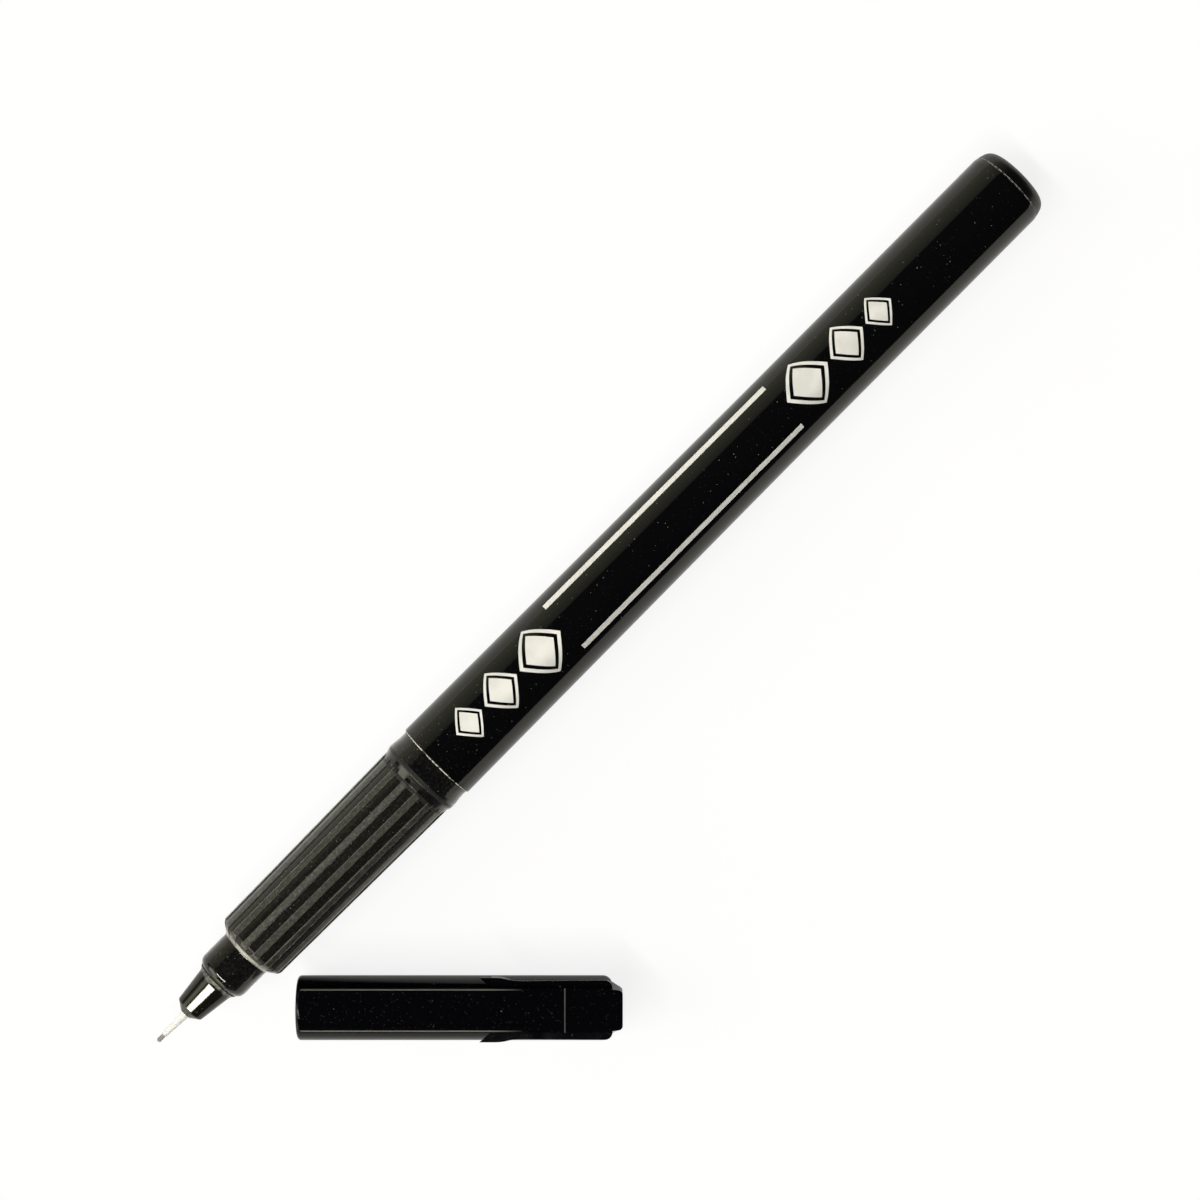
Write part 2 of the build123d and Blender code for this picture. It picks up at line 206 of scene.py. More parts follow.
class FinelinerStudio(bpy.types.PropertyGroup):
    """Floor, lamps and camera."""

    floor: colour_property("Floor", "Pale floor", "E8E8E8")
    floor_side: length_property("Floor side", "Length of the floor's sides", 9000.0)
    lamp: colour_property("Lamp", "Warm white of the two lamps", "FFFCF6")
    lamp_level: FloatProperty(
        name="Lamp level", description="Brightness of the main lamp", default=40.0, min=0.0
    )
    side_level: FloatProperty(
        name="Side lamp level", description="Brightness of the side lamp", default=3.4, min=0.0
    )
    panel: colour_property("Panel", "Warm tint of the panel, the glow and the ceiling", "F7F6E0")
    lens: FloatProperty(name="Lens", description="Focal length of the camera in mm", default=91.16, min=1.0)
    camera_height: length_property("Camera height", "Camera above the floor", 339.86)
    camera_turn: angle_property("Camera turn", "Turn of the picture round the vertical", -45.157)


def add_node(tree, kind, inputs=(), **settings):
    """Adds a shader node. The settings are its own options. The inputs, in order or by name, are values, or
    nodes or sockets that feed it."""
    node = tree.nodes.new("ShaderNode" + kind)
    for name, value in settings.items():
        setattr(node, name, value)
    for name, value in inputs.items() if isinstance(inputs, dict) else enumerate(inputs):
        if isinstance(value, bpy.types.Node):
            value = next(socket for socket in value.outputs if socket.enabled)
        if isinstance(value, bpy.types.NodeSocket):
            tree.links.new(value, node.inputs[name])
        else:
            node.inputs[name].default_value = value
    return node


def new_material(name):
    """Empty node material, and its Object coordinates."""
    material = bpy.data.materials.new(name)
    material.use_nodes = True
    tree = material.node_tree
    tree.nodes.clear()
    return material, tree, add_node(tree, "TexCoord").outputs["Object"]


def finish(material, tree, shader):
    add_node(tree, "OutputMaterial", [shader])
    return material


def dust_specks(tree, place, spacing, share, largest):
    """1 on round specks, 0 elsewhere. The share is of the places that have one, the largest radius of the
    spacing. Real dust is finer: it is drawn as coarse as it needs to show."""
    cells = add_node(tree, "TexVoronoi", {"Vector": place, "Scale": 1 / spacing})
    lot = add_node(tree, "SeparateColor", [cells.outputs["Color"]])
    size = add_node(tree, "MapRange", [lot.outputs["Green"], 0.0, 1.0, 0.3 * largest, largest])
    inside = add_node(tree, "Math", [cells, size], operation="LESS_THAN")
    chosen = add_node(tree, "Math", [lot, share], operation="LESS_THAN")
    return add_node(tree, "Math", [inside, chosen], operation="MULTIPLY")


def band(tree, along, middle, half_width):
    """1 within half a width of a place along an axis, fading to 0 over as much again."""
    offset = add_node(tree, "Math", [along, middle], operation="SUBTRACT")
    distance = add_node(tree, "Math", [offset], operation="ABSOLUTE")
    return add_node(tree, "MapRange", [distance, half_width, 2 * half_width, 1.0, 0.0])


def painted_seam_highlights(tree, place):
    """1 on the painted highlights at the edges of the barrel's two seams, less on the cone's flare, broken into
    short dashes.
    """
    from_tip = add_node(tree, "Mapping", {"Vector": place, "Location": -TIP})
    along = add_node(tree, "SeparateXYZ", [from_tip])
    grit = add_node(tree, "TexNoise", {"Vector": place, "Scale": 1 / (0.4 * MM), "Detail": 2.0})
    edge = 0.0
    front_edge = SEAM + 0.04 * MM
    highlighted_places = ((front_edge, 0.05, 1.0), (TAIL_SEAM, 0.05, 0.45), (FLARE, 0.13, 0.2))
    for middle, half_width, strength in highlighted_places:
        highlighted = band(tree, along, middle, half_width * MM)
        edge = add_node(tree, "Math", [highlighted, strength, edge], operation="MULTIPLY_ADD")
    dashes = add_node(tree, "MapRange", [grit, 0.38, 0.56], interpolation_type="SMOOTHSTEP")
    return add_node(tree, "Math", [edge, dashes], operation="MULTIPLY")


def black_polystyrene(name, colour, dust_colour, seam_highlight_and_dust_colour, least_haze, most_haze):
    """Moulded in a polished steel mould: a deep black mirror, or satin where the haze of handling is strong,
    with slight waviness, dust, and a painted highlight on the edges at the seams."""
    material, tree, place = new_material(name)
    smear = add_node(tree, "TexNoise", {
        "Vector": place, "Scale": 1 / (3.5 * MM), "Detail": 5.0, "Roughness": 0.6,
    })
    wave = add_node(tree, "TexNoise", {"Vector": place, "Scale": 1 / (7 * MM), "Detail": 1.0})
    along = add_node(tree, "SeparateXYZ", [place])
    seam = TIP.x + SEAM
    dusty_front = add_node(tree, "MapRange", [along, seam, seam + 30 * MM, 0.9, 0.4])
    fine = dust_specks(tree, place, 0.3 * MM, dusty_front, 0.22)
    specks = dust_specks(tree, place, 0.5 * MM, dusty_front, 0.15)
    haze = add_node(tree, "MapRange", [smear, 0.4, 0.75, least_haze, most_haze])
    dull = add_node(tree, "Math", [specks, 0.6], operation="MULTIPLY")
    # Painted highlight at the edges of the seams and on the flare, which is also rougher there
    seam_highlights = painted_seam_highlights(tree, place)
    smooth = add_node(tree, "Math", [haze, dull], operation="MAXIMUM")
    roughness = add_node(tree, "Math", [smooth, seam_highlights], operation="MAXIMUM")
    film = add_node(tree, "Math", [fine, 0.05], operation="MULTIPLY")
    dust_share = add_node(tree, "Math", [specks, 0.3, film], operation="MULTIPLY_ADD")
    dusty = add_node(tree, "Mix", {0: dust_share, 6: colour, 7: dust_colour}, data_type="RGBA")
    tint = add_node(tree, "Mix", {0: seam_highlights, 6: dusty, 7: seam_highlight_and_dust_colour}, data_type="RGBA")
    bump = add_node(tree, "Bump", {"Height": wave, "Distance": 0.01 * MM})
    return finish(material, tree, add_node(tree, "BsdfPrincipled", {
        "Base Color": tint, "Roughness": roughness, "Normal": bump,
        "IOR": 1.5, "Specular Tint": linear("FAFAEA"),
    }))


def painted_clip_edge_highlights(tree, place):
    """1 where a highlight is painted: on the bevelled edges of the clip's strip, fading out on its root block,
    and on the step across that."""
    from_mouth = add_node(tree, "Mapping", {"Vector": place, "Location": -CAP_MOUTH})
    ahead, side, up = (
        add_node(tree, "VectorMath", [from_mouth, axis], operation="DOT_PRODUCT").outputs["Value"]
        for axis in (CAP_AHEAD, CAP_SIDE, CAP_UP)
    )
    aside = add_node(tree, "Math", [side], operation="ABSOLUTE")
    at_edge = band(tree, aside, STRIP_HALF - 0.7 * EDGE_WIDTH, 0.22 * EDGE_WIDTH)
    on_top = add_node(tree, "MapRange", [up, STRIP_TOP - EDGE_WIDTH, STRIP_TOP - 0.6 * EDGE_WIDTH])
    before_fade = add_node(tree, "MapRange", [ahead, CLIP_ROOT, CLIP_ROOT + EDGE_FADE, 1.0, 0.0])
    edge = add_node(tree, "Math", [at_edge, before_fade], operation="MULTIPLY")
    on_strip = add_node(tree, "Math", [aside, STRIP_HALF], operation="LESS_THAN")
    step = add_node(tree, "Math", [band(tree, ahead, STEP, 0.045 * MM), on_strip], operation="MULTIPLY")
    either = add_node(tree, "Math", [edge, step], operation="MAXIMUM")
    return add_node(tree, "Math", [either, on_top], operation="MULTIPLY")


def polished_black_polypropylene(colour, edge_highlight_colour, dust_colour):
    """Moulded cap plastic: a softer black gloss under a fine film of dust, with brighter specks, and a painted
    highlight on the clip's edges."""
    material, tree, place = new_material("polished_black_polypropylene")
    smear = add_node(tree, "TexNoise", {"Vector": place, "Scale": 1 / (2.2 * MM), "Detail": 4.0})
    patches = add_node(tree, "MapRange", [smear, 0.35, 0.6, 0.4, 0.9])
    fine = dust_specks(tree, place, 0.24 * MM, patches, 0.2)
    specks = dust_specks(tree, place, 0.9 * MM, 0.3, 0.12)
    haze = add_node(tree, "MapRange", [smear, 0.35, 0.7, 0.06, 0.13])
    dull = add_node(tree, "Math", [specks, 0.6], operation="MULTIPLY")
    roughness = add_node(tree, "Math", [haze, dull], operation="MAXIMUM")
    film = add_node(tree, "Math", [fine, 0.15], operation="MULTIPLY")
    dust_share = add_node(tree, "Math", [specks, 0.16, film], operation="MULTIPLY_ADD")
    # Painted highlight: the clip strip's edges and the step are mixed towards a pale colour
    edges = painted_clip_edge_highlights(tree, place)
    moulded = add_node(tree, "Mix", {0: edges, 6: colour, 7: edge_highlight_colour}, data_type="RGBA")
    tint = add_node(tree, "Mix", {0: dust_share, 6: moulded, 7: dust_colour}, data_type="RGBA")
    return finish(material, tree, add_node(tree, "BsdfPrincipled", {
        "Base Color": tint, "Roughness": roughness, "IOR": 1.49, "Specular IOR Level": 0.22,
    }))


def satin_black_abs(smooth_colour, groove_colour, rib_colour, edge_highlight_colour, dust_colour, seam_highlight_and_dust_colour):
    """ABS from a mould with spark-eroded rib faces: satin ribs that scatter light, with a painted highlight
    along their edges, polished grooves between them, dull where these meet the ring and the shoulder, and
    dust gathered at the shoulder's foot."""
    material, tree, place = new_material("satin_black_abs")
    from_tip = add_node(tree, "Mapping", {"Vector": place, "Location": -TIP})
    parts = add_node(tree, "SeparateXYZ", [from_tip])
    across = add_node(tree, "CombineXYZ", {"Y": parts.outputs["Y"], "Z": parts.outputs["Z"]})
    radius = add_node(tree, "VectorMath", [across], operation="LENGTH").outputs["Value"]
    body = add_node(tree, "MapRange", [parts, GRIP_START, GRIP_END, GRIP_START_R, GRIP_END_R], clamp=False)
    shoulder = add_node(
        tree, "MapRange", [parts, SHOULDER_START, GRIP_START, COLLAR_R, GRIP_START_R], clamp=False
    )
    base = add_node(tree, "Math", [body, shoulder], operation="MINIMUM")
    height = add_node(tree, "Math", [radius, base], operation="SUBTRACT")
    raised = add_node(
        tree, "MapRange", [height, 0.3 * RIB_HEIGHT, 0.8 * RIB_HEIGHT], interpolation_type="SMOOTHSTEP"
    )
    behind_front = add_node(tree, "Math", [parts, SHOULDER_START], operation="GREATER_THAN")
    before_ring = add_node(tree, "Math", [parts, GRIP_END], operation="LESS_THAN")
    ribbed = add_node(tree, "Math", [behind_front, before_ring], operation="MULTIPLY")
    on_rib = add_node(tree, "Math", [raised, ribbed], operation="MULTIPLY")
    below_top = add_node(tree, "Math", [1.0, on_rib], operation="SUBTRACT")
    edge = add_node(tree, "Math", [on_rib, below_top], operation="MULTIPLY")
    # Spark-eroded grain is a few hundredths of a millimetre wide: it is drawn coarser, so that it shows
    grain = add_node(tree, "TexNoise", {"Vector": place, "Scale": 1 / (0.3 * MM), "Detail": 3.0})
    worn = add_node(tree, "TexNoise", {"Vector": place, "Scale": 1 / (2.2 * MM), "Detail": 4.0})
    specks = dust_specks(tree, place, 0.4 * MM, 0.6, 0.17)
    corner = band(tree, parts, DUSTY_FOOT, 0.14 * MM)
    satin = add_node(tree, "MapRange", [worn, 0.3, 0.7, 0.36, 0.5])
    dulled = 0.12
    for place_along in (GRIP_START, GRIP_END, RING_EDGE):
        corner_band = band(tree, parts, place_along, 0.15 * MM)
        dull_corner = add_node(tree, "Math", [corner_band, 0.8], operation="MULTIPLY")
        dulled = add_node(tree, "Math", [dulled, dull_corner], operation="MAXIMUM")
    roughness = add_node(tree, "Mix", {0: on_rib, 2: dulled, 3: satin})
    moulded = add_node(tree, "Mix", {0: ribbed, 6: smooth_colour, 7: groove_colour}, data_type="RGBA")
    black = add_node(tree, "Mix", {0: on_rib, 6: moulded, 7: rib_colour}, data_type="RGBA")
    # Painted highlight: the ribs' long edges are mixed towards a pale colour
    highlight_share = add_node(tree, "Math", [edge, 3.0], operation="MULTIPLY")
    highlighted = add_node(tree, "Mix", {0: highlight_share, 6: black, 7: edge_highlight_colour}, data_type="RGBA")
    most_mottle = add_node(tree, "MapRange", [on_rib, 0.0, 1.0, 0.05, 0.3])
    mottle = add_node(tree, "MapRange", [grain, 0.45, 0.75, 0.0, most_mottle])
    dust_share = add_node(tree, "Math", [specks, 0.5, mottle], operation="MULTIPLY_ADD")
    dusty = add_node(tree, "Mix", {0: dust_share, 6: highlighted, 7: dust_colour}, data_type="RGBA")
    patchy = add_node(tree, "MapRange", [worn, 0.35, 0.65, 0.35, 0.85])
    gathered = add_node(tree, "Math", [corner, patchy], operation="MULTIPLY")
    tint = add_node(tree, "Mix", {0: gathered, 6: dusty, 7: seam_highlight_and_dust_colour}, data_type="RGBA")
    spark = add_node(tree, "Math", [grain, on_rib], operation="MULTIPLY")
    bump = add_node(tree, "Bump", {"Height": spark, "Distance": 0.006 * MM})
    return finish(material, tree, add_node(tree, "BsdfPrincipled", {
        "Base Color": tint, "Roughness": roughness, "Normal": bump,
        "IOR": 1.5, "Specular Tint": linear("FAFAEA"), "Sheen Weight": 1.0, "Sheen Roughness": 0.32,
    }))


def ivory_acetal(colour, ink_colour):
    """Moulded acetal: waxy ivory, with ink drawn a short way back from its front edge."""
    material, tree, place = new_material("ivory_acetal")
    from_tip = add_node(tree, "Mapping", {"Vector": place, "Location": -TIP})
    along = add_node(tree, "SeparateXYZ", [from_tip])
    creep = add_node(tree, "TexNoise", {"Vector": place, "Scale": 1 / (0.5 * MM), "Detail": 3.0})
    reach = add_node(tree, "Math", [creep, 0.4 * MM, 0.85 * MM], operation="MULTIPLY_ADD")
    behind = add_node(tree, "Math", [along, reach], operation="SUBTRACT")
    stained = add_node(tree, "MapRange", [behind, -0.1 * MM, 0.15 * MM, 0.2, 0.0])
    tint = add_node(tree, "Mix", {0: stained, 6: colour, 7: ink_colour}, data_type="RGBA")
    roughness = add_node(tree, "MapRange", [creep, 0.3, 0.7, 0.28, 0.4])
    return finish(material, tree, add_node(tree, "BsdfPrincipled", {
        "Base Color": tint, "Roughness": roughness, "IOR": 1.48,
    }))


def fibre_bundle(name, colour, gap_colour, strand):
    """Fibres laid along the pen: fine streaks with dark gaps, dull from the side."""
    material, tree, place = new_material(name)
    stretched = add_node(tree, "Mapping", {"Vector": place, "Scale": (0.05, 1.0, 1.0)})
    strands = add_node(tree, "TexNoise", {"Vector": stretched, "Scale": 1 / strand, "Detail": 2.0})
    streak = add_node(tree, "MapRange", [strands, 0.35, 0.65], interpolation_type="SMOOTHSTEP")
    tint = add_node(tree, "Mix", {0: streak, 6: gap_colour, 7: colour}, data_type="RGBA")
    roughness = add_node(tree, "MapRange", [streak, 0.0, 1.0, 0.75, 0.55])
    bump = add_node(tree, "Bump", {"Height": strands, "Distance": 0.2 * strand})
    return finish(material, tree, add_node(tree, "BsdfPrincipled", {
        "Base Color": tint, "Roughness": roughness, "Normal": bump,
    }))


def clear_film(colour):
    """Polypropylene film: clear and glossy, with the fine lines of its lap and stretch."""
    material, tree, place = new_material("clear_polypropylene_film")
    lines = add_node(tree, "Mapping", {"Vector": place, "Scale": (0.02, 1.0, 1.0)})
    stretch = add_node(tree, "TexNoise", {"Vector": lines, "Scale": 1 / (0.6 * MM), "Detail": 3.0})
    roughness = add_node(tree, "MapRange", [stretch, 0.3, 0.7, 0.05, 0.2])
    return finish(material, tree, add_node(tree, "BsdfPrincipled", {
        "Base Color": colour, "Roughness": roughness, "Transmission Weight": 0.9, "IOR": 1.49,
    }))


def natural_polyethylene(colour):
    """Unfilled polyethylene: milky, waxy and soft-edged, with flow marks from moulding."""
    material, tree, place = new_material("natural_polyethylene")
    flow = add_node(tree, "TexNoise", {
        "Vector": place, "Scale": 1 / (1.5 * MM), "Detail": 4.0, "Distortion": 0.8,
    })
    darker = [0.8 * value for value in colour[:3]] + [1.0]
    milky = add_node(tree, "MapRange", [flow, 0.3, 0.7])
    tint = add_node(tree, "Mix", {0: milky, 6: darker, 7: colour}, data_type="RGBA")
    roughness = add_node(tree, "MapRange", [flow, 0.3, 0.7, 0.38, 0.5])
    return finish(material, tree, add_node(tree, "BsdfPrincipled", {
        "Base Color": tint, "Roughness": roughness, "IOR": 1.51,
        "Subsurface Weight": 0.3, "Subsurface Scale": 0.4 * MM,
    }))


def hot_stamped_foil(colour):
    """Hot-stamped aluminium foil: pale silver that scatters widely, uneven from the die, with pinholes
    worn through by rubbing."""
    material, tree, place = new_material("hot_stamped_silver_foil")
    press = add_node(tree, "TexNoise", {"Vector": place, "Scale": 1 / (1.8 * MM), "Detail": 3.0})
    grain = add_node(tree, "TexNoise", {"Vector": place, "Scale": 1 / (0.09 * MM), "Detail": 2.0})
    duller = [0.92 * value for value in colour[:3]] + [1.0]
    pressed = add_node(tree, "MapRange", [press, 0.35, 0.65], interpolation_type="SMOOTHSTEP")
    silver = add_node(tree, "Mix", {0: pressed, 6: duller, 7: colour}, data_type="RGBA")
    pinholes = add_node(tree, "MapRange", [grain, 0.7, 0.78, 0.0, 0.5])
    tint = add_node(tree, "Mix", {0: pinholes, 6: silver, 7: linear("3A3A38")}, data_type="RGBA")
    roughness = add_node(tree, "MapRange", [press, 0.3, 0.7, 0.42, 0.55])
    bump = add_node(tree, "Bump", {"Height": grain, "Distance": 0.003 * MM})
    return finish(material, tree, add_node(tree, "BsdfPrincipled", {
        "Base Color": tint, "Metallic": 0.25, "Roughness": roughness, "Normal": bump,
    }))


def give(material, *nodes):
    """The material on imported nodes, in place of their own."""
    for name in nodes:
        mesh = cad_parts[name].data
        mesh.materials.clear()
        mesh.materials.append(material)


def deselect_all():
    if bpy.context.object and bpy.context.object.mode != "OBJECT":
        bpy.ops.object.mode_set(mode="OBJECT")
    bpy.ops.object.select_all(action="DESELECT")


def make_active(piece):
    deselect_all()
    piece.select_set(True)
    bpy.context.view_layer.objects.active = piece


def apply_place(piece):
    """Puts the piece's place, turn and scale into its mesh."""
    make_active(piece)
    bpy.ops.object.transform_apply(location=True, rotation=True, scale=True)


def barrel_former():
    """The barrel's outside drawn finely, as a form to lay the foil on."""
    deselect_all()
    taper = TAPER_END - SEAM
    bpy.ops.mesh.primitive_cone_add(
        vertices=720, radius1=SEAM_R, radius2=STRAIGHT_R, depth=taper,
        location=TIP + Vector((SEAM + taper / 2, 0, 0)), rotation=(0, math.radians(90), 0),
    )
    former = bpy.context.object
    apply_place(former)
    bpy.ops.object.mode_set(mode="EDIT")
    bpy.ops.mesh.select_all(action="DESELECT")
    bpy.ops.object.mode_set(mode="OBJECT")
    for face in former.data.polygons:
        face.select = face.normal.x > 0.9
    bpy.ops.object.mode_set(mode="EDIT")
    bpy.ops.mesh.extrude_region_move(TRANSFORM_OT_translate={"value": (STRAIGHT_END - TAPER_END, 0, 0)})
    bpy.ops.object.mode_set(mode="OBJECT")
    return former


def place_on_barrel(piece, along, turn):
    """Lays a flat piece against the barrel: its middle that far from the tip, turned round the axis."""
    out = Vector((0, math.sin(turn), math.cos(turn)))
    piece.location = TIP + Vector((along, 0, 0)) + out * SEAM_R
    piece.rotation_euler = (-turn, 0, 0)
    apply_place(piece)


def lay_foil(pieces, name, former, foil, material):
    """Joins flat pieces, wraps them on the barrel, gives them thickness and hands them to the pen's body."""
    make_active(pieces[0])
    for piece in pieces:
        piece.select_set(True)
    if len(pieces) > 1:
        bpy.ops.object.join()
    laid = bpy.context.object
    laid.name = name
    laid.data.name = name
    bpy.ops.object.modifier_add(type="SHRINKWRAP")
    wrap = laid.modifiers[-1]
    wrap.target = former
    wrap.wrap_method = "NEAREST_SURFACEPOINT"
    wrap.wrap_mode = "ON_SURFACE"
    wrap.offset = foil.clearance
    bpy.ops.object.modifier_apply(modifier=wrap.name)
    bpy.ops.object.modifier_add(type="SOLIDIFY")
    wall = laid.modifiers[-1]
    wall.thickness = foil.thickness
    wall.offset = 1.0
    bpy.ops.object.modifier_apply(modifier=wall.name)
    bpy.ops.object.shade_smooth_by_angle(angle=math.radians(35))
    laid.data.materials.clear()
    laid.data.materials.append(material)
    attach(laid, "pen")
    return laid


def cap_material():
    """The cap's one material, made on first use."""
    finish_set = bpy.context.scene.fineliner_finish
    material = bpy.data.materials.get("polished_black_polypropylene")
    return material or polished_black_polypropylene(finish_set.cap, finish_set.clip_edge_highlight, finish_set.dust)


def foil_material():
    """The foil's one material, made on first use."""
    material = bpy.data.materials.get("hot_stamped_silver_foil")
    return material or hot_stamped_foil(bpy.context.scene.fineliner_finish.foil)


class FINELINER_OT_barrel(bpy.types.Operator):
    """Polished black on the barrel, smudged black on the nib holder, satin black on the tail plug"""

    bl_idname = "fineliner.barrel"
    bl_label = "Finish barrel"

    def execute(self, context):
        finish_set = context.scene.fineliner_finish
        # The second of these colours is the painted highlight at the seams' edges
        marks = (finish_set.dust, finish_set.worn)
        give(black_polystyrene("polished_black_polystyrene", finish_set.barrel, *marks, 0.05, 0.12), "barrel")
        give(black_polystyrene("satin_black_polystyrene", finish_set.barrel, *marks, 0.3, 0.42), "tail_plug")
        smudged = black_polystyrene("smudged_black_polystyrene", finish_set.grip, *marks, 0.08, 0.14)
        give(smudged, "nib_holder")
        return {"FINISHED"}


class FINELINER_OT_grip(bpy.types.Operator):
    """Satin ribs and polished grooves on the grip section"""

    bl_idname = "fineliner.grip"
    bl_label = "Finish grip"

    def execute(self, context):
        finish_set = context.scene.fineliner_finish
        blacks = (finish_set.barrel, finish_set.grip, finish_set.rib, finish_set.rib_edge_highlight)
        give(satin_black_abs(*blacks, finish_set.dust, finish_set.worn), "grip_section")
        return {"FINISHED"}


class FINELINER_OT_point(bpy.types.Operator):
    """Fibre point, its ivory sheath and the ink store behind them"""

    bl_idname = "fineliner.point"
    bl_label = "Finish point and ink store"

    def execute(self, context):
        finish_set = context.scene.fineliner_finish
        give(ivory_acetal(finish_set.sheath, finish_set.ink), "nib_sheath")
        give(fibre_bundle("bonded_fibre_point", finish_set.point, finish_set.point_gap, 0.06 * MM), "nib")
        inked = fibre_bundle("inked_polyester_fibre", finish_set.ink, linear("26262C"), 0.15 * MM)
        give(inked, "ink_reservoir")
        give(clear_film(finish_set.film), "reservoir_wrap")
        return {"FINISHED"}


class FINELINER_OT_cap(bpy.types.Operator):
    """Polished black on the cap, natural plastic on the inner cap"""

    bl_idname = "fineliner.cap"
    bl_label = "Finish cap"

    def execute(self, context):
        finish_set = context.scene.fineliner_finish
        give(cap_material(), "cap_shell")
        give(natural_polyethylene(finish_set.liner), "inner_cap")
        return {"FINISHED"}


class FINELINER_OT_clip(bpy.types.Operator):
    """Clip strip that grows out of the cap's root block, cut across at the places where it is to bend"""

    bl_idname = "fineliner.clip"
    bl_label = "Model clip strip"

    def execute(self, context):
        settings = context.scene.fineliner_clip
        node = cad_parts["clip_arm"]
        deselect_all()
        strip = bpy.data.objects.new("clip_strip", node.data.copy())
        context.scene.collection.objects.link(strip)
        make_active(strip)
        bpy.ops.object.mode_set(mode="EDIT")
        bpy.ops.mesh.select_all(action="SELECT")
        bpy.ops.mesh.remove_doubles(threshold=0.001 * MM)
        bpy.ops.mesh.dissolve_limited(angle_limit=math.radians(0.5))
        for i in range(1, settings.bends + 1):
            bpy.ops.mesh.select_all(action="SELECT")
            along = CLIP_ROOT - settings.spring_length * i / settings.bends
            bpy.ops.mesh.bisect(plane_co=CAP_MOUTH + CAP_AHEAD * along, plane_no=CAP_AHEAD)
        bpy.ops.mesh.select_all(action="DESELECT")
        bpy.ops.object.mode_set(mode="OBJECT")
        for vertex in strip.data.vertices:
            vertex.select = (vertex.co - CAP_MOUTH).dot(CAP_AHEAD) > CLIP_ROOT - 1.5 * CLIP_SPLIT
        bpy.ops.object.mode_set(mode="EDIT")
        bpy.ops.transform.translate(value=CAP_AHEAD * CLIP_SPLIT)
        bpy.ops.object.mode_set(mode="OBJECT")
        bpy.ops.object.shade_smooth_by_angle(angle=math.radians(15))
        strip.data.materials.clear()
        strip.data.materials.append(cap_material())
        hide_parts("clip_arm")
        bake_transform(strip)
        return {"FINISHED"}


class FINELINER_OT_foil_stripes(bpy.types.Operator):
    """Two plain foil stripes along the barrel"""

    bl_idname = "fineliner.foil_stripes"
    bl_label = "Stamp foil stripes"

    def execute(self, context):
        foil = context.scene.fineliner_foil
        length = foil.stripe_end - foil.stripe_start
        former = barrel_former()
        stripes = []
        for turn, width in ((foil.stripe_left, foil.left_width), (foil.stripe_right, foil.right_width)):
            deselect_all()
            bpy.ops.mesh.primitive_grid_add(x_subdivisions=120, y_subdivisions=4, size=1.0)
            stripe = bpy.context.object
            stripe.scale = (length, width, 1.0)
            apply_place(stripe)
            place_on_barrel(stripe, foil.stripe_start + length / 2, turn)
            stripes.append(stripe)
        lay_foil(stripes, "foil_stripes", former, foil, foil_material())
        bpy.data.objects.remove(former)
        return {"FINISHED"}


class FINELINER_OT_foil_lozenges(bpy.types.Operator):
    """A row of framed foil lozenges at each end of the stripes, smaller from one to the next"""

    bl_idname = "fineliner.foil_lozenges"
    bl_label = "Stamp foil lozenges"

    def execute(self, context):
        foil = context.scene.fineliner_foil
        former = barrel_former()
        rows = (("foil_lozenges_front", foil.stripe_start, -1), ("foil_lozenges_rear", foil.stripe_end, 1))
        for name, place, direction in rows:
            lozenges = []
            size = 1.0
            for _ in range(foil.lozenges):
                length = foil.lozenge_length * size
                place += direction * (foil.lozenge_gap + length / 2)
                lozenge = self.flat_lozenge(length, foil.lozenge_width * size)
                place_on_barrel(lozenge, place, foil.turn)
                lozenges.append(lozenge)
                place += direction * length / 2
                size *= foil.lozenge_step
            lay_foil(lozenges, name, former, foil, foil_material())
        bpy.data.objects.remove(former)
        return {"FINISHED"}

    def flat_lozenge(self, length, width):
        """A square grid with a bare line inside its border, stood on its corner and drawn out."""
        deselect_all()
        side = math.sqrt(0.5)
        bpy.ops.mesh.primitive_grid_add(x_subdivisions=24, y_subdivisions=24, size=side)
        lozenge = bpy.context.object
        bpy.ops.object.mode_set(mode="EDIT")
        bpy.ops.mesh.select_all(action="DESELECT")
        bpy.ops.object.mode_set(mode="OBJECT")
        for face in lozenge.data.polygons:
            from_middle = max(abs(face.center.x), abs(face.center.y)) / (side / 2)
            face.select = BARE_FROM < from_middle < BARE_TO
        bpy.ops.object.mode_set(mode="EDIT")
        bpy.ops.mesh.delete(type="FACE")
        bpy.ops.object.mode_set(mode="OBJECT")
        lozenge.rotation_euler = (0, 0, math.radians(45))
        apply_place(lozenge)
        lozenge.scale = (length, width, 1.0)
        apply_place(lozenge)
        return lozenge


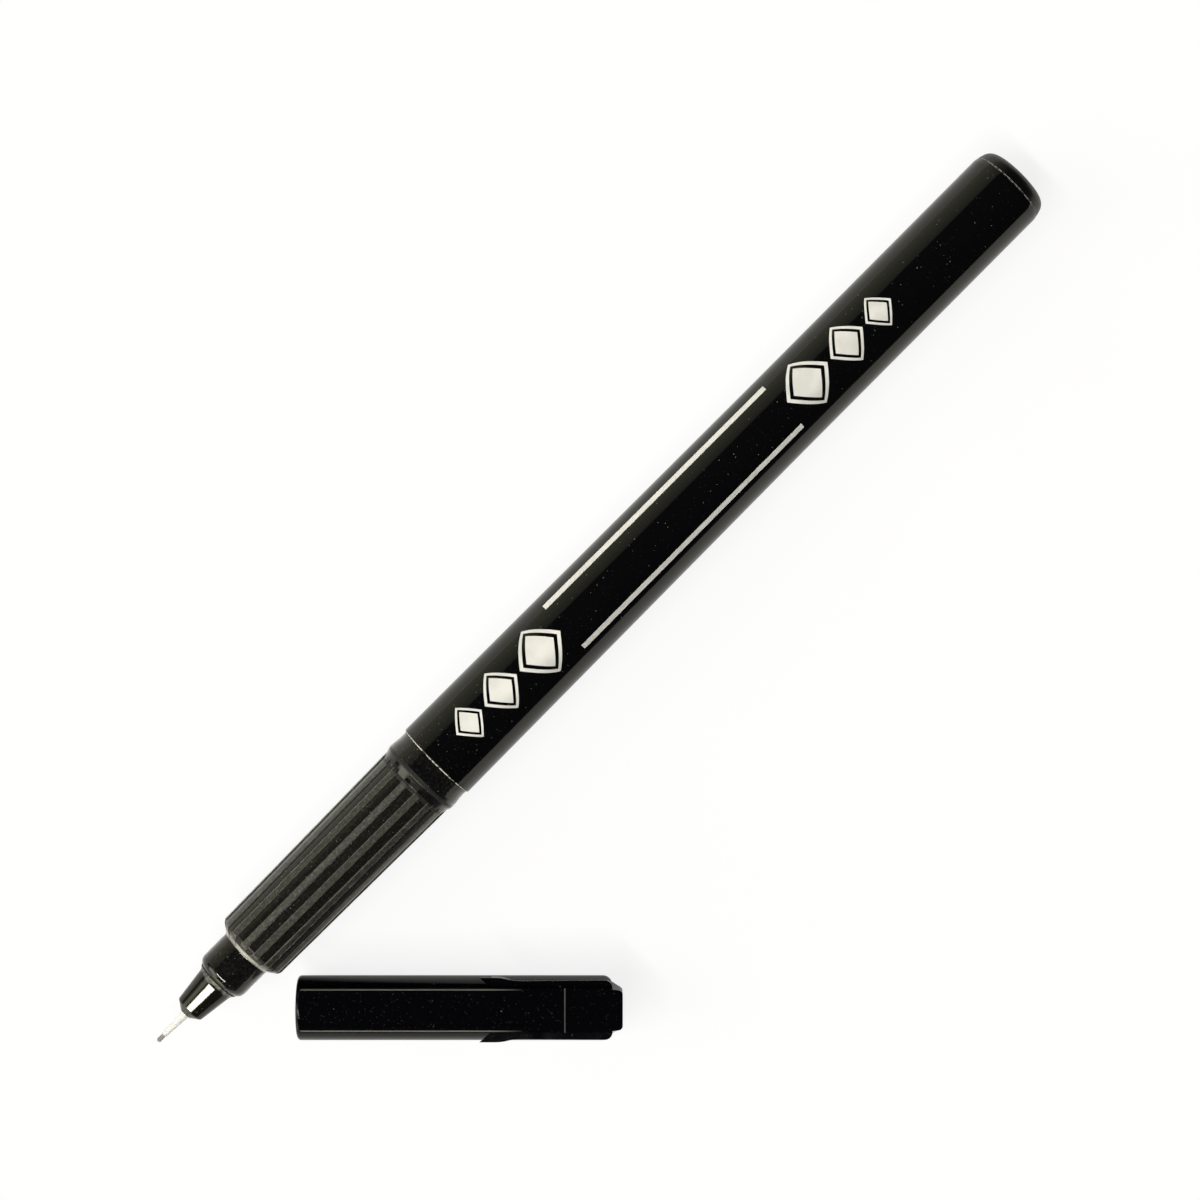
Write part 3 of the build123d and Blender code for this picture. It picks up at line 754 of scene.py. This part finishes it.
class FINELINER_OT_studio(bpy.types.Operator):
    """Pale floor, room with two lamps and a dimmer panel, camera straight above"""

    bl_idname = "fineliner.studio"
    bl_label = "Set up studio"

    def execute(self, context):
        studio = context.scene.fineliner_studio
        self.floor(studio)
        self.room(context.scene, studio)
        self.camera(context.scene, studio)
        context.scene.view_settings.view_transform = "Standard"
        return {"FINISHED"}

    def floor(self, studio):
        deselect_all()
        bpy.ops.mesh.primitive_plane_add(size=studio.floor_side)
        floor = bpy.context.object
        floor.name = "studio_floor"
        material, tree, place = new_material("pale_studio_floor")
        paper = add_node(tree, "TexNoise", {"Vector": place, "Scale": 40.0})
        mottle = add_node(tree, "MapRange", [paper, 0.3, 0.7])
        pale = add_node(tree, "Mix", {0: mottle, 6: studio.floor, 7: linear("ECECEC")}, data_type="RGBA")
        lit = add_node(tree, "BsdfDiffuse", [pale])
        white = add_node(tree, "Emission", {"Color": linear("FFFFFF"), "Strength": FLOOR_WHITE})
        rays = add_node(tree, "LightPath")
        share = 0.0
        for kind, white_share in FLOOR_SHARES.items():
            whitened = add_node(tree, "Math", [rays.outputs[kind], white_share], operation="MULTIPLY")
            share = add_node(tree, "Math", [share, whitened], operation="MAXIMUM")
        finish(material, tree, add_node(tree, "MixShader", [share, lit, white]))
        floor.data.materials.append(material)

    def room(self, scene, studio):
        """Dark ceiling with a narrow lamp high on the writing tip's side, a wider and dimmer one lower between
        that and +Y, a long panel on the +Y side and a glow low beyond the tip."""
        world = bpy.data.worlds.new("studio_room")
        scene.world = world
        world.use_nodes = True
        tree = world.node_tree
        tree.nodes.clear()
        look = add_node(tree, "TexCoord").outputs["Generated"]
        parts = add_node(tree, "SeparateXYZ", [look])
        rise = parts.outputs["Z"]
        above = add_node(tree, "Math", [rise, 0.01], operation="MAXIMUM")

        slope_x = add_node(tree, "Math", [parts.outputs["X"], above], operation="DIVIDE")
        slope_y = add_node(tree, "Math", [parts.outputs["Y"], above], operation="DIVIDE")
        aside = add_node(tree, "Math", [slope_y], operation="ABSOLUTE")
        lamp = add_node(tree, "MapRange", [slope_x, LAMP_FAR, LAMP_FAR + LAMP_SOFT])
        near_end = [slope_x, LAMP_NEAR - LAMP_SOFT, LAMP_NEAR, 1.0, 0.0]
        side_ends = [aside, LAMP_ASIDE - LAMP_ASIDE_SOFT, LAMP_ASIDE, 1.0, 0.0]
        for reach in (near_end, side_ends):
            lamp = add_node(tree, "Math", [lamp, add_node(tree, "MapRange", reach)], operation="MULTIPLY")
        lamp_level = add_node(tree, "Math", [lamp, studio.lamp_level], operation="MULTIPLY")

        edge = math.radians(PANEL_EDGE)
        panel_side = (0.0, math.cos(edge), -math.sin(edge))
        towards_panel = add_node(tree, "VectorMath", [look, panel_side], operation="DOT_PRODUCT")
        into_panel = towards_panel.outputs["Value"]
        panel = add_node(tree, "MapRange", [into_panel, 0.0, 0.72, 0.25, 0.65])
        upper_edge = [into_panel, -0.02, 0.02]
        front_end = [parts, -0.27, -0.2, 0.1, 1.0]
        rear_end = [parts, 0.3, 0.8, 1.0, 0.3]
        for reach in (upper_edge, front_end, rear_end):
            panel = add_node(tree, "Math", [panel, add_node(tree, "MapRange", reach)], operation="MULTIPLY")

        towards_side = add_node(tree, "VectorMath", [look, SIDE_LAMP], operation="DOT_PRODUCT")
        side_lamp = add_node(tree, "MapRange", [towards_side.outputs["Value"], SIDE_LAMP_RIM, SIDE_LAMP_FULL])
        side_level = add_node(tree, "Math", [side_lamp, studio.side_level], operation="MULTIPLY")
        lamps = add_node(tree, "Math", [lamp, side_lamp], operation="MAXIMUM")

        glow = add_node(tree, "MapRange", [parts, -0.9, -0.95, 0.0, GLOW_LEVEL])
        level = add_node(tree, "Math", [lamp_level, CEILING_LEVEL], operation="ADD")
        for light in (side_level, panel, glow):
            level = add_node(tree, "Math", [level, light], operation="ADD")

        tint = add_node(tree, "Mix", {0: lamps, 6: studio.panel, 7: studio.lamp}, data_type="RGBA")
        shade = add_node(tree, "Background", [tint, level])
        add_node(tree, "OutputWorld", [shade])

    def camera(self, scene, studio):
        view = bpy.data.cameras.new("photo_camera")
        view.lens = studio.lens
        view.sensor_width = 36.0
        view.clip_start = 10 * MM
        view.clip_end = 50.0
        camera = bpy.data.objects.new("photo_camera", view)
        scene.collection.objects.link(camera)
        camera.location = (*BELOW_CAMERA, studio.camera_height)
        camera.rotation_euler = (0, 0, studio.camera_turn)
        scene.camera = camera


class FINELINER_PT_panel(bpy.types.Panel):
    """Steps that dress the pen"""

    bl_label = "Fineliner pen"
    bl_idname = "FINELINER_PT_panel"
    bl_space_type = "VIEW_3D"
    bl_region_type = "UI"
    bl_category = "Fineliner"

    def draw(self, context):
        for step in STEPS:
            self.layout.operator(step.bl_idname)


SETTINGS = {
    "finish": FinelinerFinish,
    "clip": FinelinerClip,
    "foil": FinelinerFoil,
    "studio": FinelinerStudio,
}
STEPS = (
    FINELINER_OT_barrel,
    FINELINER_OT_grip,
    FINELINER_OT_point,
    FINELINER_OT_cap,
    FINELINER_OT_clip,
    FINELINER_OT_foil_stripes,
    FINELINER_OT_foil_lozenges,
    FINELINER_OT_studio,
)


def register():
    for name, group in SETTINGS.items():
        bpy.utils.register_class(group)
        setattr(bpy.types.Scene, "fineliner_" + name, PointerProperty(type=group))
    for step in STEPS:
        bpy.utils.register_class(step)
    bpy.utils.register_class(FINELINER_PT_panel)


def unregister():
    bpy.utils.unregister_class(FINELINER_PT_panel)
    for step in reversed(STEPS):
        bpy.utils.unregister_class(step)
    for name, group in SETTINGS.items():
        delattr(bpy.types.Scene, "fineliner_" + name)
        bpy.utils.unregister_class(group)


def main():
    register()
    for step in STEPS:
        group, name = step.bl_idname.split(".")
        getattr(getattr(bpy.ops, group), name)()


if __name__ == "__main__":
    main()
